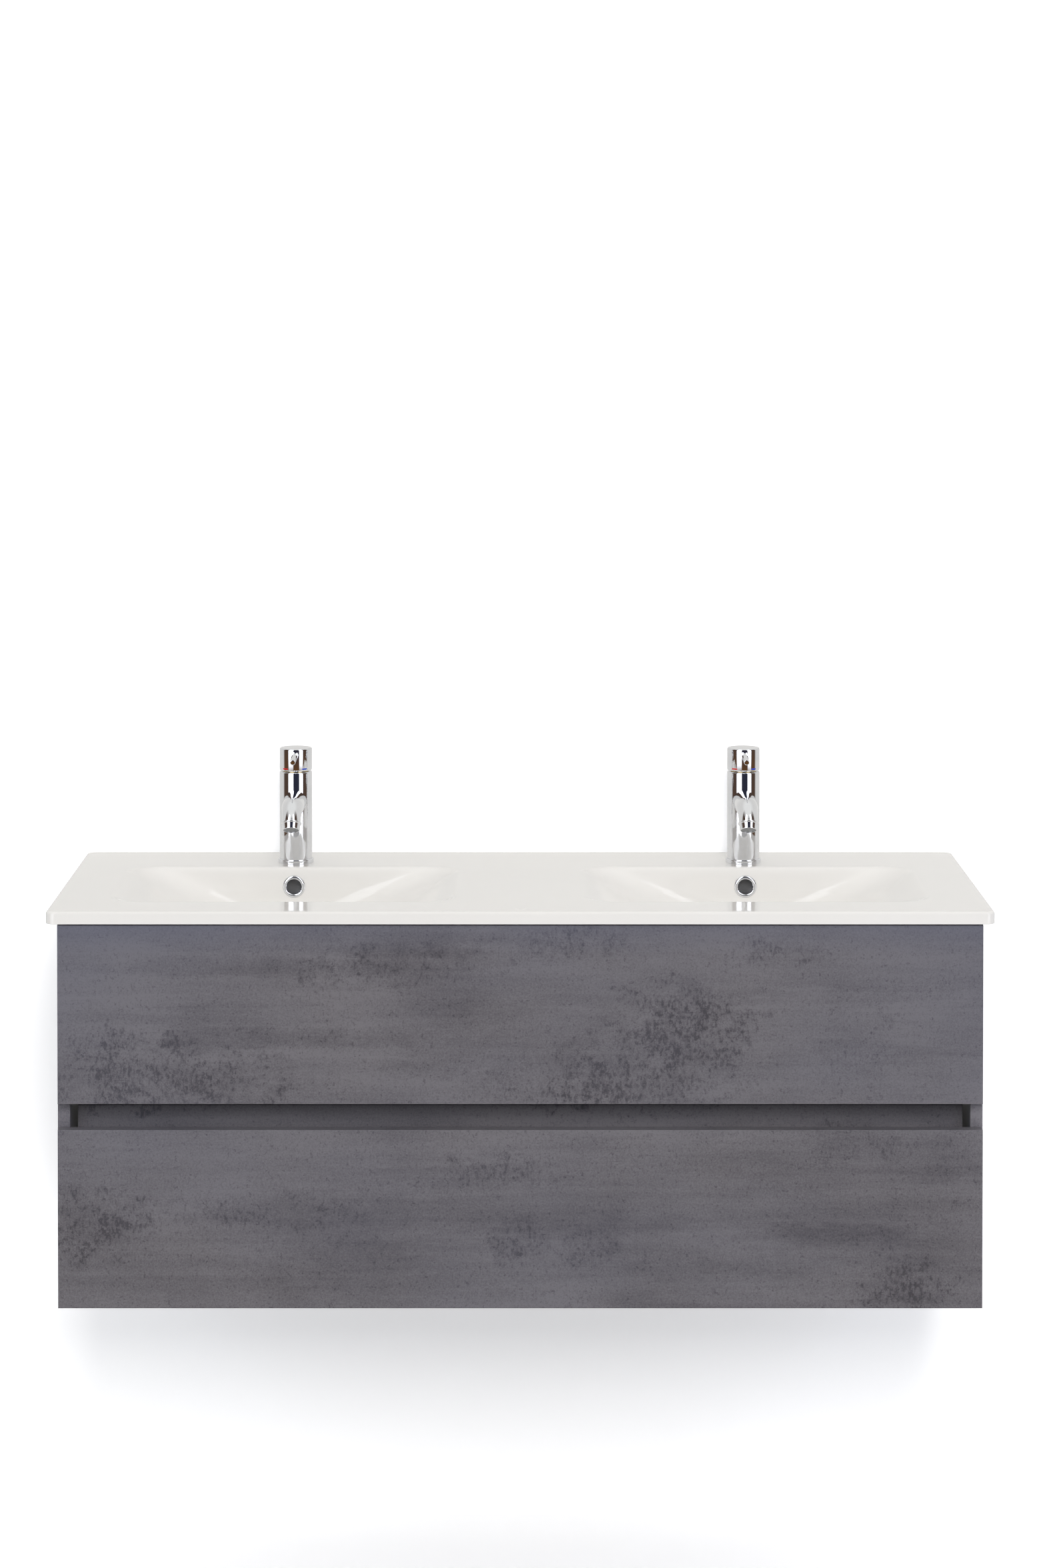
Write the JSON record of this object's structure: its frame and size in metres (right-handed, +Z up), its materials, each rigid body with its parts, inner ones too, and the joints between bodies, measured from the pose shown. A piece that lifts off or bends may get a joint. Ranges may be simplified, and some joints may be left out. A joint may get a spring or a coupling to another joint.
{
  "type": "bathroom vanity cabinet",
  "caption": "Wall-hung vanity cabinet with two wide handleless drawers under a one-piece double ceramic washbasin with single-lever taps.",
  "frame": {"origin": "midway between the two wall screws that carry the cabinet, on the wall plane", "axes": "+X to the right along the cabinet's width, -Y from the wall towards the user, +Z up"},
  "size_m": [1.21, 0.465, 0.667],
  "materials": {
    "front_decor": "matt slate-grey concrete decor on board, matching edge bands",
    "carcass_decor": "matt slate-grey concrete decor on board",
    "drawer_board": "fine-textured grey melamine on board",
    "ceramic": "glossy white glaze",
    "chrome": "polished chrome on brass",
    "zinc_steel": "zinc-plated steel",
    "brass": "bare brass",
    "grey_plastic": "moulded grey plastic",
    "white_plastic": "moulded white plastic",
    "beech": "fluted beech dowel",
    "rubber": "clear soft bumper"
  },
  "bodies": {
    "cabinet": {"basin": "ceramic", "bottom_panel": "carcass_decor", "cam_fittings": "zinc_steel", "carcass_dowels": "beech", "front_bumpers": "rubber", "front_rail": "carcass_decor", "hanger_screws": "zinc_steel", "hangers": "zinc_steel", "hanging_rail": "carcass_decor", "lower_back_rail": "carcass_decor", "lower_slide_cabinet_members": "zinc_steel", "overflow_rings": "chrome", "side_panel_left": "carcass_decor", "side_panel_right": "carcass_decor", "slide_screws": "zinc_steel", "tap_aerators": "chrome", "tap_base_rings": "chrome", "tap_fixings": "zinc_steel", "tap_left_body": "chrome", "tap_left_cartridge": "brass", "tap_right_body": "chrome", "tap_right_cartridge": "brass", "trap_left": "chrome", "trap_pipe_left": "chrome", "trap_pipe_right": "chrome", "trap_right": "chrome", "upper_slide_cabinet_members": "zinc_steel", "wall_plates": "zinc_steel", "waste_left": "chrome", "waste_nuts": "white_plastic", "waste_right": "chrome"},
    "upper_drawer": {"upper_front": "front_decor", "upper_drawer_side_left": "drawer_board", "upper_drawer_side_right": "drawer_board", "upper_drawer_back": "drawer_board", "upper_drawer_bottom": "drawer_board", "upper_trap_surround_left": "grey_plastic", "upper_trap_surround_right": "grey_plastic", "upper_slide_drawer_members": "zinc_steel", "upper_drawer_screws": "zinc_steel"},
    "upper_runners": {"upper_slide_middle_members": "zinc_steel"},
    "lower_drawer": {"lower_front": "front_decor", "lower_recess_board": "front_decor", "lower_drawer_side_left": "drawer_board", "lower_drawer_side_right": "drawer_board", "lower_drawer_back": "drawer_board", "lower_drawer_bottom": "drawer_board", "lower_front_spacers": "carcass_decor", "lower_slide_drawer_members": "zinc_steel", "lower_drawer_screws": "zinc_steel"},
    "lower_runners": {"lower_slide_middle_members": "zinc_steel"},
    "tap_left_carrier": {"tap_left_stem": "brass"},
    "tap_left_handle": {"tap_left_cap": "chrome", "tap_left_lever": "chrome"},
    "plug_left": {"plug_left": "chrome"},
    "tap_right_carrier": {"tap_right_stem": "brass"},
    "tap_right_handle": {"tap_right_cap": "chrome", "tap_right_lever": "chrome"},
    "plug_right": {"plug_right": "chrome"}
  },
  "joints": [
    {"name": "upper_drawer_slide", "type": "slide", "parent": "cabinet", "child": "upper_drawer", "axis": [0, -1, 0], "range_m": [0, 0.33]},
    {"name": "upper_runners_slide", "type": "slide", "parent": "cabinet", "child": "upper_runners", "axis": [0, -1, 0], "range_m": [0, 0.165]},
    {"name": "lower_drawer_slide", "type": "slide", "parent": "cabinet", "child": "lower_drawer", "axis": [0, -1, 0], "range_m": [0, 0.33]},
    {"name": "lower_runners_slide", "type": "slide", "parent": "cabinet", "child": "lower_runners", "axis": [0, -1, 0], "range_m": [0, 0.165]},
    {"name": "tap_left_turn", "type": "hinge", "parent": "cabinet", "child": "tap_left_carrier", "pos_m": [-0.308, -0.085, 0.218], "axis": [0, 0, 1], "range_deg": [-45, 45]},
    {"name": "tap_left_lift", "type": "hinge", "parent": "tap_left_carrier", "child": "tap_left_handle", "pos_m": [-0.308, -0.085, 0.218], "axis": [-1, 0, 0], "range_deg": [0, 18]},
    {"name": "plug_left_lift", "type": "slide", "parent": "cabinet", "child": "plug_left", "axis": [0, 0, 1], "range_m": [0, 0.008]},
    {"name": "tap_right_turn", "type": "hinge", "parent": "cabinet", "child": "tap_right_carrier", "pos_m": [0.308, -0.085, 0.218], "axis": [0, 0, 1], "range_deg": [-45, 45]},
    {"name": "tap_right_lift", "type": "hinge", "parent": "tap_right_carrier", "child": "tap_right_handle", "pos_m": [0.308, -0.085, 0.218], "axis": [-1, 0, 0], "range_deg": [0, 18]},
    {"name": "plug_right_lift", "type": "slide", "parent": "cabinet", "child": "plug_right", "axis": [0, 0, 1], "range_m": [0, 0.008]}
  ],
  "couplings": [
    {"joint": "upper_runners_slide", "follows": "upper_drawer_slide", "ratio": 0.5},
    {"joint": "lower_runners_slide", "follows": "lower_drawer_slide", "ratio": 0.5}
  ]
}
